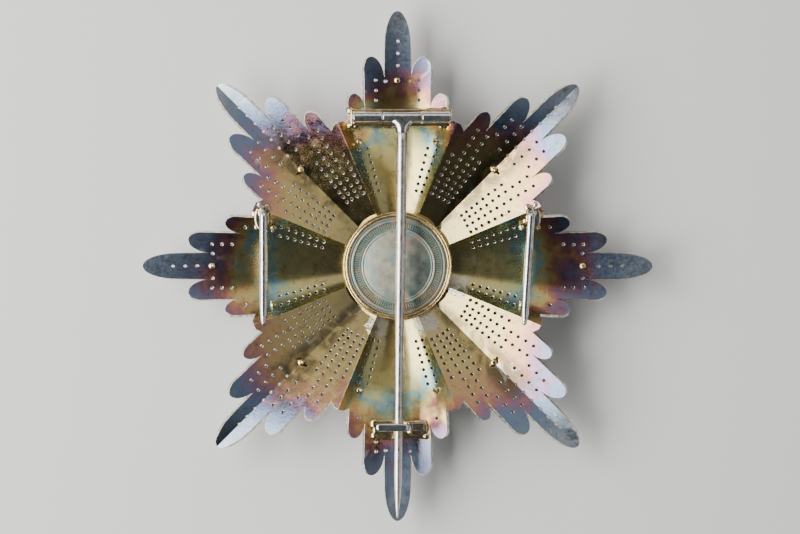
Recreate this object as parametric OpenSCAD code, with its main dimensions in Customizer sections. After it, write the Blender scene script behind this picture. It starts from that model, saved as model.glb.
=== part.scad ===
// Breast star seen from behind: one pierced star struck from sheet metal, with a
// backed centre, a hinged pin, a catch, two side hooks and sixteen fixing studs.
// The star lies face down, so +Z is its back and each arm is a trough.
// The origin is the middle of its underside, and +Y runs to the hinge.

/* [Star] */
// Distance from the centre to the tip of each arm
star_radius = 43; // [38:0.5:48]
// Upright thickness of the struck sheet
sheet_t = 0.9; // [0.7:0.05:1.1]
// Sideways slope of the arm troughs, as rise over run
trough_slope = 0.48; // [0.4:0.01:0.52]
// Outward rise of each arm's centre line, as rise over run
arm_rise = 0.07; // [0.04:0.01:0.1]
// Diameter of the pierced holes in the rays
pierced_d = 0.55; // [0.3:0.05:0.8]

/* [Centre] */
// Outer diameter of the bezel round the back disc
bezel_d = 18.5; // [16:0.5:20]
// Width of the bezel's rim
bezel_rim = 0.9; // [0.8:0.05:1.2]
// Height of the bezel above the ridges that it crosses
bezel_stand = 0.8; // [0.5:0.1:1.2]
// Depth of the back disc's face below the top of the bezel
disc_sink = 0.3; // [0.1:0.05:0.4]
// Thickness of the back disc
disc_t = 0.8; // [0.5:0.1:1]
// Thickness of the bezel's wall outside the drum
wall_t = 0.65; // [0.5:0.05:0.7]
// Diameter of the plain medallion on the hidden front
medallion_d = 22; // [20:0.5:26]
// Thickness of the front medallion
medallion_t = 2.4; // [2:0.1:3.4]

/* [Hinge] */
// Distance of the hinge axis beyond the outermost notches of the arm
hinge_out = 1; // [0.2:0.1:1.4]
// Sideways place of the middle of the hinge tube
hinge_x = 0.75; // [0:0.05:1]
// Length of the hinge tube over all three knuckles
tube_len = 16.2; // [15:0.2:17]
// Outer diameter of the hinge tube
tube_d = 1.9; // [1.7:0.05:2.2]
// Length of the left knuckle
left_len = 4.8; // [4:0.1:5.4]
// Length of the middle knuckle, which swings with the pin
middle_len = 6.5; // [5.5:0.1:7]
// Length by which the strip passes its two seats on the trough
strip_over = 1; // [0.8:0.1:1.6]
// Sideways place of the middle of the strip
strip_x = 0.6; // [0:0.05:0.8]
// Diameter of the hinge rod
rod_d = 0.84; // [0.6:0.02:0.96]
// Radial play of the middle knuckle on the rod
hinge_play = 0.05; // [0.03:0.01:0.08]
// Width of the strip that carries the tube
strip_w = 2.9; // [2.4:0.1:3.2]
// Thickness of that strip
strip_t = 0.8; // [0.6:0.1:1]
// Height of the saddles between the strip and the tube
saddle_h = 0.3; // [0.25:0.05:0.6]
// Distance of the strip's seats inside the edges of the arm
strip_inset = 0.45; // [0.3:0.05:0.8]
// Length of each foot that fills the strip's seat
foot_len = 1.4; // [1:0.1:1.8]
// Thickness of the heads on the hinge rod
rod_head_t = 0.3; // [0.2:0.05:0.4]

/* [Pin] */
// Diameter of the pin stem at its collar
stem_root_d = 1.75; // [1.5:0.05:1.9]
// Diameter of the pin stem where it passes the catch
stem_catch_d = 1.4; // [1.2:0.05:1.5]
// Distance from the hinge axis to the tip of the pin
stem_reach = 67.2; // [62:0.2:68]
// Length of the pointed end
stem_point = 8; // [6:0.5:10]
// Sideways drift of the pin between its collar and its tip
stem_drift = 0.85; // [0:0.05:1.2]
// Length of the collar that holds the stem, from the hinge axis
collar_len = 2.6; // [2.2:0.1:4]
// Wall of that collar
collar_wall = 0.25; // [0.2:0.05:0.3]
// Length of the flare that joins the collar to the middle knuckle
collar_flare = 0.5; // [0.3:0.1:0.8]
// Metal left between the knuckle and the socket of the stem
collar_floor = 0.3; // [0.2:0.05:0.5]

/* [Catch] */
// Distance of the catch strip beyond the outermost notches of the arm
catch_out = 3.1; // [2.4:0.1:3.4]
// Width of the catch strip
catch_w = 1.35; // [1.1:0.05:1.6]
// Thickness of the catch strip
catch_t = 0.55; // [0.4:0.05:0.7]
// Sideways place of the catch's upright
catch_x = 2.2; // [1.8:0.1:2.6]
// Distance from the upright to the free end of the catch strip
catch_reach = 5.8; // [5:0.1:6.4]
// Outer radius of the catch strip's bend
catch_bend = 1.5; // [1:0.1:1.6]
// Length of the catch strip's foot
catch_foot = 2.6; // [2:0.1:2.8]
// Length of the bar under the catch
bar_len = 9.1; // [8.6:0.1:9.4]
// Sideways place of the middle of the bar
bar_x = 0.45; // [0:0.05:0.6]
// Distance of the bar's middle beyond the middle of the catch strip
bar_out = 0.55; // [0:0.05:0.8]
// Width of that bar
bar_w = 3.2; // [2.8:0.1:3.6]
// Height of the bar's top above the bottom of the trough
bar_h = 1.2; // [1:0.1:1.6]

/* [Side hooks] */
// Diameter of the hook wire
hook_wire_d = 1.35; // [1.1:0.05:1.6]
// Distance of each hook inside the outermost notches of the arm
hook_in = 1.5; // [1.2:0.1:1.8]
// Distance of the hook's upright above the upper notch
hook_root_up = 0.67; // [0.5:0.05:0.8]
// Distance of the hook's point below the lower notch
hook_tip_down = 1.67; // [0:0.05:2]
// Radius of the hook's bend along the middle of the wire
hook_bend = 1; // [0.8:0.1:1.2]
// Length of the hook's point
hook_point = 3; // [2:0.2:5]
// Length of the oval foot under each hook
hook_foot_len = 4.4; // [4:0.1:4.6]
// Width of that foot
hook_foot_w = 2.6; // [2.2:0.1:2.7]
// Distance of the foot's middle outside the upright
hook_foot_out = 0.35; // [0:0.05:0.5]
// Distance of the foot's middle below the upright
hook_foot_down = 0.9; // [0.6:0.05:1.1]
// Height of the foot above the ridge that it covers
hook_foot_h = 0.15; // [0.1:0.05:0.3]
// Inward lean of the right hook, in degrees
right_hook_lean = 3.6; // [0:0.2:5]
// Height of the solder collar round the foot of the upright
hook_collar_h = 0.15; // [0.1:0.05:0.6]
// Width of that collar
hook_collar_w = 0.15; // [0.1:0.05:0.2]

/* [Fixing studs] */
// Diameter of the stud's shank
stud_d = 0.8; // [0.6:0.05:0.9]
// Diameter of the collar on the back
stud_collar_d = 1.1; // [1.05:0.05:1.2]
// Diameter of the plain head on the front
stud_head_d = 1.7; // [1.5:0.1:2]
// Height of that collar
stud_collar_h = 0.35; // [0.3:0.05:0.5]
// Thickness of the head on the front
stud_head_t = 0.55; // [0.4:0.05:0.7]
// Diameter of the wire end that stands above the collar
stud_wire_d = 0.5; // [0.4:0.05:0.6]
// Length of that wire end
stud_wire_l = 0.7; // [0.3:0.1:1]
// Distance of each crease stud inside the outermost notches of its arm
crease_stud_in = 0.85; // [0.6:0.05:1.2]
// Distance of each tip stud beyond the outermost notches of its arm
tip_stud_out = 7.4; // [7:0.1:7.8]
// Distance of each side stud inside the outermost notches of its arm
side_stud_in = 3; // [2.8:0.1:3.2]
// Distance of each side stud from those notches towards the arm's middle
side_stud_aside = 1.8; // [1.6:0.1:2]

/* [Fits] */
// Gap left for solder between pieces that are joined
solder_gap = 0.03; // [0.02:0.01:0.06]
// Gap between the faces of neighbouring knuckles
knuckle_gap = 0.12; // [0.06:0.02:0.3]

/* [Hidden] */
$fn = 96;
STUDS = 16;
stud_names = [for (i = [1:STUDS]) str("stud_", i < 10 ? "0" : "", i)];

// Length by which a cutting tool passes the metal, and the radius of a point
past = 1;
point_r = 0.12;

silver = "silver";
tarnish = "slategray";
gilt = "goldenrod";

// A drum on the medallion passes through the sheet, whose arms rest on the
// medallion round it
ARMS = 8;
arm_reach = star_radius * 1.2;
arm_turn = 360 / ARMS;
half_arm = arm_turn / 2;
stock_h = star_radius / 2;
drum_r = bezel_d / 2 - wall_t - solder_gap;
sheet_bore_r = drum_r + solder_gap;
apex_z = medallion_t + solder_gap - arm_rise * sheet_bore_r;
ridge_slope = trough_slope * sin(half_arm) + arm_rise * cos(half_arm);

// The cardinal arms are cones whose flanks pass through both bounding ridges
ridge_len = norm([cos(half_arm), sin(half_arm), ridge_slope]);
rise_angle = atan(arm_rise);
cone_lift = atan2(
    cos(rise_angle) - cos(half_arm) / ridge_len,
    ridge_slope / ridge_len - sin(rise_angle)
);
cone_half = cone_lift - rise_angle;
function cone_z(u, v) =
    let (
        kept = pow(cos(cone_half), 2),
        a = pow(sin(cone_lift), 2) - kept,
        b = 2 * u * cos(cone_lift) * sin(cone_lift),
        c = pow(u * cos(cone_lift), 2) - (u * u + v * v) * kept
    )
    (-b + sqrt(b * b - 4 * a * c)) / (2 * a);
// Upward normal of the cone at a point on its flank
function cone_normal(u, v) =
    let (
        axis = [cos(cone_lift), 0, sin(cone_lift)],
        p = [u, v, cone_z(u, v)],
        raw = (p * axis) * axis - pow(cos(cone_half), 2) * p
    )
    raw / norm(raw);
// Height of the sheet's back surface on a cardinal arm and along a ridge
function back_z(u, v) = apex_z + sheet_t + cone_z(u, v);
function ridge_z(r) = apex_z + sheet_t + ridge_slope * r;

// Outline of the rays: shares of star_radius for the tip, both edges,
// the length of the rounded end and how far the tip leans outward
TIP = 0;
INNER = 1;
OUTER = 2;
ROUND = 3;
LEAN = 4;
rays = [
    [1.000, -0.052, 0.052, 0.140, 0.000],
    [0.822, 0.054, 0.135, 0.072, 0.010],
    [0.675, 0.133, 0.197, 0.052, 0.008]
];
notch_r = 0.589;
notch_angle = 19.2;
stub_r = 0.606;
stub_angle = 21;
ray_steps = 8;
notch_u = star_radius * notch_r * cos(notch_angle);
notch_v = star_radius * notch_r * sin(notch_angle);

// Rows of pierced holes: shares of star_radius for the first and last hole
// and for the sideways place of the row, then the number of holes
FIRST = 0;
LAST = 1;
ASIDE = 2;
COUNT = 3;
cardinal_rows = [
    [0.788, 0.882, 0.000, 3],
    [0.650, 0.730, 0.088, 3],
    [0.650, 0.730, -0.088, 3]
];
diagonal_rows = [
    [0.613, 0.878, 0.000, 7],
    [0.608, 0.730, 0.046, 4],
    [0.608, 0.730, -0.046, 4],
    [0.640, 0.722, 0.092, 3],
    [0.640, 0.722, -0.092, 3]
];

// Fixing studs, placed from the outermost notches: one on each diagonal crease,
// one near the tip of each cardinal arm and one either side of each cardinal arm
crease_stud_u = notch_u - crease_stud_in;
tip_stud_u = notch_u + tip_stud_out;
side_stud_u = notch_u - side_stud_in;
side_stud_v = notch_v - side_stud_aside;
stud_places = concat(
    [for (k = [0:3]) [2 * arm_turn * k + arm_turn, crease_stud_u, 0]],
    [for (k = [0:3]) [2 * arm_turn * k, tip_stud_u, 0]],
    [for (k = [0:3]) for (side = [-1, 1]) [2 * arm_turn * k, side_stud_u, side * side_stud_v]]
);

// Heights of the centre and the fittings, worked out from what they stand on
bezel_z = ridge_z(bezel_d / 2) + bezel_stand;
disc_z = bezel_z - disc_sink - disc_t;
drum_z = disc_z - solder_gap;
hinge_y = notch_u + hinge_out;
catch_y = notch_u + catch_out;
hook_x = notch_u - hook_in;
hook_root_y = notch_v + hook_root_up;
hook_tip_y = notch_v + hook_tip_down;
strip_seat = star_radius * rays[2][OUTER] - strip_inset;
strip_z = back_z(hinge_y, strip_seat) + solder_gap;
tube_r = tube_d / 2;
pin_z = strip_z + strip_t + saddle_h + tube_r;
tube_left = hinge_x - tube_len / 2;
tube_right = tube_left + tube_len;
middle_left = tube_left + left_len + knuckle_gap;
middle_right = middle_left + middle_len;
middle_x = (middle_left + middle_right) / 2;
stem_lean = atan(stem_drift / stem_reach);
socket_z = tube_r + collar_floor;
catch_under = pin_z + stem_catch_d / 2 + 2 * solder_gap;
bar_z = back_z(catch_y, 0) + bar_h;
hook_foot_z = ridge_z(norm([hook_x, hook_root_y])) + hook_foot_h;
hook_z = hook_foot_z + hook_collar_h + hook_bend;

// Space inside all eight troughs, with its floor raised by a chosen amount
module troughs(lift) {
    translate([0, 0, apex_z + lift])
        for (k = [0:3]) {
            rotate(2 * arm_turn * k) cone_space();
            rotate(2 * arm_turn * k + arm_turn) vee_space();
        }
}

// Inside of the rounded trough of the arm that points along +X
module cone_space() {
    rotate([0, 90 - cone_lift, 0])
        cylinder(r1 = 0, r2 = arm_reach * tan(cone_half), h = arm_reach, $fn = 180);
}

// Inside of the V trough of the arm that points along +X
module vee_space() {
    side = arm_reach / 3;
    edge = side * trough_slope * cos(rise_angle);
    rotate([0, -rise_angle, 0])
        rotate([90, 0, 90])
            linear_extrude(arm_reach)
                polygon([[0, 0], [side, edge], [side, stock_h], [-side, stock_h], [-side, edge]]);
}

// Half of one arm's outline, from its tip to the ridge beside it
function ray_point(ray, a) = star_radius * [
    ray[TIP] - ray[ROUND] * (1 - cos(a)),
    (ray[INNER] + ray[OUTER]) / 2 + (ray[OUTER] - ray[INNER]) / 2 * sin(a) + ray[LEAN] * cos(a)
];
function polar(r, a) = star_radius * r * [cos(a), sin(a)];
half_outline = concat(
    [for (i = [0:ray_steps / 2]) ray_point(rays[0], 180 * i / ray_steps)],
    [for (k = [1:2]) for (i = [0:ray_steps]) ray_point(rays[k], -90 + 180 * i / ray_steps)],
    [polar(notch_r, notch_angle), polar(stub_r, stub_angle)]
);
steps = len(half_outline);
arm_outline = concat(
    [for (i = [steps - 1:-1:1]) [half_outline[i][0], -half_outline[i][1]]],
    half_outline
);
function turned(p, a) = [p[0] * cos(a) - p[1] * sin(a), p[0] * sin(a) + p[1] * cos(a)];

module star_outline() {
    polygon([for (k = [0:ARMS - 1]) for (p = arm_outline) turned(p, arm_turn * k)]);
}

module row_holes(rows) {
    for (row = rows) {
        pitch = (row[LAST] - row[FIRST]) / (row[COUNT] - 1);
        for (i = [0:row[COUNT] - 1])
            translate(star_radius * [row[FIRST] + pitch * i, row[ASIDE], 0])
                cylinder(d = pierced_d, h = stock_h, $fn = 24);
    }
}

// A stud's place on the back of the sheet, and the sheet's normal there
function on_crease(place) = place[2] == 0;
function stud_normal(place) =
    on_crease(place) ? [-sin(rise_angle), 0, cos(rise_angle)] : cone_normal(place[1], place[2]);
function stud_z(place) =
    on_crease(place) ? apex_z + sheet_t + arm_rise * place[1] : back_z(place[1], place[2]);

module at_stud(place) {
    normal = stud_normal(place);
    rotate(place[0])
        translate([place[1], place[2], stud_z(place)])
            rotate([0, acos(normal[2]), atan2(normal[1], normal[0])])
                children();
}

module star_sheet() color(tarnish) {
    difference() {
        intersection() {
            linear_extrude(stock_h)
                difference() {
                    star_outline();
                    circle(sheet_bore_r);
                }
            troughs(0);
        }
        troughs(sheet_t);
        for (k = [0:3]) {
            rotate(2 * arm_turn * k) row_holes(cardinal_rows);
            rotate(2 * arm_turn * k + arm_turn) row_holes(diagonal_rows);
        }
        for (place = stud_places)
            at_stud(place)
                cylinder(d = stud_d + 2 * solder_gap, h = 4 * sheet_t, center = true, $fn = 32);
    }
}

// Turned profile of the medallion's face: shares of its radius and thickness
OUT = 0;
UP = 1;
medallion_profile = [[0.80, 0], [0.84, 0.2], [0.90, 0.2], [0.94, 0.1], [0.98, 0.2], [1.00, 0.4]];
// Turned profile of the bezel's rim: shares of bezel_rim in from its outside
// and down from its top
IN = 0;
DOWN = 1;
bezel_profile = [[0, 0.33], [0.2, 0], [0.4, 0], [0.5, 0.17], [0.6, 0.06], [0.85, 0.06]];

// Plain turned medallion with a flat face, a stepped rim and the drum behind it
module front_medallion() color(silver) {
    rim_r = medallion_d / 2;
    rotate_extrude()
        polygon(concat(
            [[0, 0]],
            [for (at = medallion_profile) [rim_r * at[OUT], medallion_t * at[UP]]],
            [[rim_r, medallion_t], [drum_r, medallion_t], [drum_r, drum_z], [0, drum_z]]
        ));
}

// Ring whose wall follows the troughs down to the sheet all round the drum
module disc_bezel() color(gilt) {
    outer = bezel_d / 2;
    inner = outer - bezel_rim;
    intersection() {
        rotate_extrude()
            polygon(concat(
                [[sheet_bore_r, medallion_t], [outer, medallion_t]],
                [for (at = bezel_profile) [outer - bezel_rim * at[IN], bezel_z - bezel_rim * at[DOWN]]],
                [[inner, bezel_z - disc_sink / 2], [inner, disc_z], [sheet_bore_r, disc_z]]
            ));
        troughs(sheet_t + solder_gap);
    }
}

// Plain disc with one turned groove near its edge
module back_disc() color(tarnish) {
    disc_r = bezel_d / 2 - bezel_rim - solder_gap;
    groove_r = disc_r * 0.82;
    groove = disc_t * 0.2;
    translate([0, 0, disc_z])
        rotate_extrude()
            polygon([
                [0, 0], [disc_r, 0], [disc_r, disc_t], [groove_r + groove, disc_t],
                [groove_r, disc_t - groove], [groove_r - groove, disc_t], [0, disc_t]
            ]);
}

// Cylinder along +X from one place to another, on the hinge axis
module along_hinge(from_x, to_x, d) {
    translate([from_x, hinge_y, pin_z])
        rotate([0, 90, 0])
            cylinder(d = d, h = to_x - from_x, $fn = 64);
}

// Strip with a foot at each end, cut to the trough that it stands in
module hinge_strip() {
    strip_len = 2 * strip_seat + strip_over;
    foot_h = strip_z - apex_z + strip_t / 2;
    intersection() {
        union() {
            translate([strip_x - strip_len / 2, hinge_y - strip_w / 2, strip_z])
                cube([strip_len, strip_w, strip_t]);
            for (foot_x = [-strip_seat, strip_seat - foot_len])
                translate([foot_x, hinge_y - strip_w / 2, apex_z])
                    cube([foot_len, strip_w, foot_h]);
        }
        translate([0, 0, apex_z + sheet_t + solder_gap])
            rotate(90) cone_space();
    }
}

module hinge_mount() color(silver) {
    saddle_w = tube_d * 0.8;
    saddle_z = strip_z + strip_t / 2;
    ends = [[tube_left, middle_left - knuckle_gap], [middle_right + knuckle_gap, tube_right]];
    difference() {
        union() {
            hinge_strip();
            for (end = ends) {
                along_hinge(end[0], end[1], tube_d);
                translate([end[0], hinge_y - saddle_w / 2, saddle_z])
                    cube([end[1] - end[0], saddle_w, pin_z - saddle_z]);
            }
        }
        along_hinge(tube_left - past, tube_right + past, rod_d + 2 * solder_gap);
    }
}

module hinge_rod() color(silver) {
    along_hinge(tube_left - solder_gap, tube_right + solder_gap, rod_d);
    for (x = [tube_left - solder_gap - rod_head_t, tube_right + solder_gap])
        along_hinge(x, x + rod_head_t, tube_d * 0.8);
}

// Frame of the stem: origin on the hinge axis, +Z towards the tip of the pin
module along_stem() {
    translate([middle_x, hinge_y, pin_z])
        rotate(-stem_lean)
            rotate([90, 0, 0])
                children();
}

module pin_knuckle() color(silver) {
    root_r = stem_root_d / 2;
    difference() {
        union() {
            along_hinge(middle_left, middle_right, tube_d);
            along_stem()
                rotate_extrude()
                    polygon([
                        [0, 0], [tube_r, 0], [tube_r, tube_r],
                        [root_r + collar_wall, tube_r + collar_flare],
                        [root_r + collar_wall / 2, collar_len], [0, collar_len]
                    ]);
        }
        along_hinge(middle_left - past, middle_right + past, rod_d + 2 * hinge_play);
        along_stem()
            translate([0, 0, socket_z])
                cylinder(r = root_r - collar_wall + solder_gap, h = collar_len);
    }
}

module pin_stem() color(silver) {
    root_r = stem_root_d / 2;
    socket_r = root_r - collar_wall;
    catch_r = stem_catch_d / 2;
    seat = socket_z + solder_gap;
    shoulder = collar_len + solder_gap;
    along_stem()
        rotate_extrude()
            polygon([
                [0, seat], [socket_r, seat], [socket_r, shoulder], [root_r, shoulder],
                [catch_r, hinge_y + catch_y], [catch_r * 0.97, stem_reach - stem_point],
                [catch_r * 0.7, stem_reach - stem_point / 2], [point_r, stem_reach - point_r],
                [point_r / 2, stem_reach], [0, stem_reach]
            ]);
}

// Outline of the bent catch strip from the side: foot, upright, bend and hook
module catch_profile() {
    top = catch_under + catch_t;
    outside = catch_x + catch_t / 2;
    sunk = 0.1;
    translate([outside - catch_t, bar_z - sunk])
        square([catch_t, top - catch_bend - bar_z + sunk]);
    translate([outside - catch_t, bar_z - sunk])
        square([catch_foot, catch_t + sunk]);
    translate([outside - catch_bend, top - catch_bend])
        intersection() {
            difference() {
                circle(catch_bend);
                circle(catch_bend - catch_t);
            }
            square(catch_bend);
        }
    translate([catch_x - catch_reach, catch_under])
        square([outside - catch_bend - catch_x + catch_reach, catch_t]);
}

module catch_hook() color(silver) {
    free_end = catch_x - catch_reach + catch_w / 2;
    bar_y = -catch_y - bar_out;
    intersection() {
        translate([0, -catch_y + catch_w / 2, 0])
            rotate([90, 0, 0])
                linear_extrude(catch_w) catch_profile();
        linear_extrude(stock_h) {
            translate([free_end, -catch_y]) circle(d = catch_w);
            translate([free_end, -catch_y - catch_w / 2]) square([catch_reach * 2, catch_w]);
        }
    }
    intersection() {
        translate([bar_x - bar_len / 2, bar_y - bar_w / 2, bar_z - 2 * bar_h])
            cube([bar_len, bar_w, 2 * bar_h]);
        translate([0, 0, apex_z + sheet_t + solder_gap])
            rotate(-90) cone_space();
    }
}

// Root of a side hook: its oval foot and the collar round the upright, cut to
// the two troughs that meet under them
module hook_root(side) {
    end_r = hook_foot_w / 2;
    straight = hook_foot_len - hook_foot_w;
    intersection() {
        union() {
            translate([side * (hook_x + hook_foot_out), hook_root_y - hook_foot_down, 0])
                linear_extrude(hook_foot_z) {
                    for (s = [-1, 1])
                        translate([0, straight / 2 * s]) circle(end_r, $fn = 48);
                    square([hook_foot_w, straight], center = true);
                }
            translate([side * hook_x, hook_root_y, 0])
                cylinder(d = hook_wire_d + 2 * hook_collar_w, h = hook_foot_z + hook_collar_h, $fn = 48);
        }
        translate([0, 0, apex_z + sheet_t + solder_gap]) {
            rotate(side > 0 ? 0 : 180) cone_space();
            rotate(side > 0 ? arm_turn : 180 - arm_turn) vee_space();
        }
    }
}

// Side hook: an upright on the foot, a bend, and a point that runs along -Y
module side_hook(side, lean) color(silver) {
    wire_r = hook_wire_d / 2;
    straight = hook_root_y + hook_tip_y - hook_bend - hook_point;
    sunk = hook_collar_h / 3;
    hook_root(side);
    translate([side * hook_x, hook_root_y, hook_z - hook_bend])
        rotate(lean) {
            translate([0, 0, -sunk])
                cylinder(r = wire_r, h = sunk, $fn = 48);
            translate([0, -hook_bend, 0]) {
                rotate([90, 0, 90])
                    rotate_extrude(angle = 90, $fn = 48)
                        translate([hook_bend, 0]) circle(wire_r, $fn = 48);
                translate([0, 0, hook_bend])
                    rotate([90, 0, 0]) {
                        cylinder(r = wire_r, h = straight, $fn = 48);
                        translate([0, 0, straight])
                            cylinder(r1 = wire_r, r2 = point_r, h = hook_point, $fn = 48);
                    }
            }
        }
}

module hook_left() side_hook(-1, 0);
module hook_right() side_hook(1, -right_hook_lean);

// Plain stud: domed head on the front, shank through the sheet, collar on the
// back and the wire end that stands out of it
module fixing_stud(place) color(gilt) {
    collar_r = stud_collar_d / 2;
    head_r = stud_head_d / 2;
    shank_r = stud_d / 2;
    wire_r = stud_wire_d / 2;
    front = -sheet_t * stud_normal(place)[2] - solder_gap;
    back = (on_crease(place) ? trough_slope * collar_r : 0) + 2 * solder_gap;
    collar_top = back + stud_collar_h;
    edge = stud_collar_h / 2;
    at_stud(place)
        rotate_extrude($fn = 32)
            polygon([
                [0, front - stud_head_t], [head_r / 2, front - stud_head_t * 0.8],
                [head_r, front - stud_head_t * 0.2], [head_r, front],
                [shank_r, front], [shank_r, back], [collar_r, back], [collar_r, collar_top - edge],
                [collar_r - edge, collar_top], [wire_r, collar_top],
                [wire_r, collar_top + stud_wire_l], [0, collar_top + stud_wire_l]
            ]);
}

star_sheet();
front_medallion();
disc_bezel();
back_disc();
hinge_mount();
hinge_rod();
pin_knuckle();
pin_stem();
catch_hook();
hook_left();
hook_right();
for (i = [0:STUDS - 1])
    fixing_stud(stud_places[i]);
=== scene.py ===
import math
import random
import bpy
from mathutils import Matrix, Vector


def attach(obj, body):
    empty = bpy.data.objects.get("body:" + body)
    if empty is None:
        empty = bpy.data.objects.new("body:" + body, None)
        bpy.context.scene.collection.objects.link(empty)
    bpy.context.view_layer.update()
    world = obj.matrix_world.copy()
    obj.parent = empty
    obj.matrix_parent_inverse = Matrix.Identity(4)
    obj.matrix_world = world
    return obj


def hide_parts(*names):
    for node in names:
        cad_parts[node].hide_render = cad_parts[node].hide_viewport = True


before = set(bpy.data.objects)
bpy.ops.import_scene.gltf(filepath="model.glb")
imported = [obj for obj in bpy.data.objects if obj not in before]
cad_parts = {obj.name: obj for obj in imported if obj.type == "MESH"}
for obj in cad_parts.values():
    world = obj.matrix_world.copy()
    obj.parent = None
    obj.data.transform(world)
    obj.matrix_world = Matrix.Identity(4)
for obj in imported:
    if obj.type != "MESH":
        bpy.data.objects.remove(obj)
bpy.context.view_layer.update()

# Table, light and camera. The star lies face down on a pale table, under one large
# soft panel on the left and weaker ones at the top and the right, and the camera
# looks straight down on its back.
mm = 0.001
scene = bpy.context.scene


def pick_nothing():
    bpy.ops.object.select_all(action="DESELECT")


def pick(piece):
    """Makes this piece the active one and the only one selected."""
    pick_nothing()
    bpy.context.view_layer.objects.active = piece
    piece.select_set(True)


def finished(name):
    """Names the object just modelled and puts its place in its mesh."""
    piece = bpy.context.object
    piece.name = name
    piece.data.name = name
    pick(piece)
    bpy.ops.object.transform_apply(location=True, rotation=True, scale=True)
    return piece


table_width = 3.0
table_gap = 0.02 * mm
pick_nothing()
bpy.ops.mesh.primitive_plane_add(size=table_width, location=(0, 0, -table_gap))
table = finished("table_top")

paper = bpy.data.materials.new("pale_table")
paper.use_nodes = True
paper_shader = paper.node_tree.nodes["Principled BSDF"]
paper_shader.inputs["Base Color"].default_value = (0.78, 0.78, 0.77, 1)
paper_shader.inputs["Roughness"].default_value = 0.75
table.data.materials.append(paper)

world = bpy.data.worlds.new("studio")
scene.world = world
world.use_nodes = True
room_light = world.node_tree.nodes["Background"]
room_light.inputs["Color"].default_value = (0.80, 0.85, 0.92, 1)
room_light.inputs["Strength"].default_value = 0.1


def soft_panel(name, place, width, height, glow, tint):
    """A softbox of even brightness that faces the middle of the star."""
    lamp = bpy.data.lights.new(name, "AREA")
    lamp.shape = "RECTANGLE"
    lamp.size = width
    lamp.size_y = height
    lamp.energy = glow * math.pi * width * height
    lamp.color = tint
    panel = bpy.data.objects.new(name, lamp)
    panel.location = place
    panel.rotation_euler = (-Vector(place)).to_track_quat("-Z", "Y").to_euler()
    scene.collection.objects.link(panel)


soft_panel("panel_left", (-0.40, 0.0, 0.33), 0.69, 0.38, 9.0, (1, 0.99, 0.97))
soft_panel("panel_top", (0.05, 0.42, 0.36), 0.90, 0.34, 0.9, (1, 0.97, 0.92))
soft_panel("panel_right", (0.45, -0.06, 0.34), 0.62, 0.36, 0.5, (0.96, 0.98, 1))

# The view is 134.9 mm wide at the height of the disc, 600 mm from the lens
camera_height = 605.5 * mm
sight_line = 600 * mm
view_width = 134.9 * mm
film_width = 36
camera = bpy.data.cameras.new("camera_above")
camera.sensor_width = film_width
camera.lens = film_width * sight_line / view_width
camera_rig = bpy.data.objects.new("camera_above", camera)
camera_rig.location = (0.42 * mm, -0.17 * mm, camera_height)
scene.collection.objects.link(camera_rig)
scene.camera = camera_rig

# The star is one sheet of silver, sawn out and drilled flat, then struck into
# eight troughs. Heat and age have tarnished its back through yellow, red and blue,
# while the sawn edges and the rims of the drilled holes are bright.
star_radius = 43 * mm
sheet_t = 0.9 * mm
trough_slope = 0.48
arm_rise = 0.07
apex_z = 1.828 * mm
bore_r = 8.6 * mm
drill_r = 0.24 * mm
edge_break = 0.18 * mm
arm_turn = math.radians(45)
half_arm = arm_turn / 2

# The upright and level arms are parts of cones that meet the flat flanks of the diagonal
# arms along the folds: how far each cone's axis is lifted, and half its opening.
ridge_slope = trough_slope * math.sin(half_arm) + arm_rise * math.cos(half_arm)
ridge_len = math.hypot(1, ridge_slope)
rise_angle = math.atan(arm_rise)
cone_lift = math.atan2(
    math.cos(rise_angle) - math.cos(half_arm) / ridge_len,
    ridge_slope / ridge_len - math.sin(rise_angle),
)
cone_half = cone_lift - rise_angle


def along_arm(x, y):
    """Number of the arm that a point lies on, and its place along and across it."""
    arm = round(math.atan2(y, x) / arm_turn) % 8
    turn = arm * arm_turn
    return arm, x * math.cos(turn) + y * math.sin(turn), y * math.cos(turn) - x * math.sin(turn)


def trough(x, y):
    """Height of the troughs above the lowest point of the star's back."""
    arm, u, v = along_arm(x, y)
    diagonal = arm % 2 == 1
    if diagonal:
        return trough_slope * abs(v) + arm_rise * u
    kept = math.cos(cone_half) ** 2
    a = math.sin(cone_lift) ** 2 - kept
    b = 2 * u * math.cos(cone_lift) * math.sin(cone_lift)
    c = (u * math.cos(cone_lift)) ** 2 - (u * u + v * v) * kept
    return (-b + math.sqrt(max(b * b - 4 * a * c, 0))) / (2 * a)


def back_z(x, y):
    """Height of the star's back above the table."""
    return apex_z + sheet_t + trough(x, y)


def turned(u, v, turn):
    """A place turned about the star's upright axis."""
    return u * math.cos(turn) - v * math.sin(turn), u * math.sin(turn) + v * math.cos(turn)


# tip, inner edge, outer edge, rounded length and outward lean of each ray, in shares
# of the star's radius
rays = (
    (1.000, -0.052, 0.052, 0.140, 0.000),
    (0.822, 0.054, 0.135, 0.072, 0.010),
    (0.675, 0.133, 0.197, 0.052, 0.008),
)


def ray_edge(ray, turn):
    """A point on the rounded end of a ray; -90 degrees is its inner side."""
    tip, inner, outer, rounded, lean = ray
    along = tip - rounded * (1 - math.cos(turn))
    across = (inner + outer) / 2 + (outer - inner) / 2 * math.sin(turn) + lean * math.cos(turn)
    return star_radius * along, star_radius * across


tip_steps = 16
half_outline = [ray_edge(rays[0], math.pi / tip_steps * i) for i in range(tip_steps // 2 + 1)]
for ray in rays[1:]:
    for i in range(tip_steps + 1):
        half_outline.append(ray_edge(ray, math.pi * (i / tip_steps - 0.5)))

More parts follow.
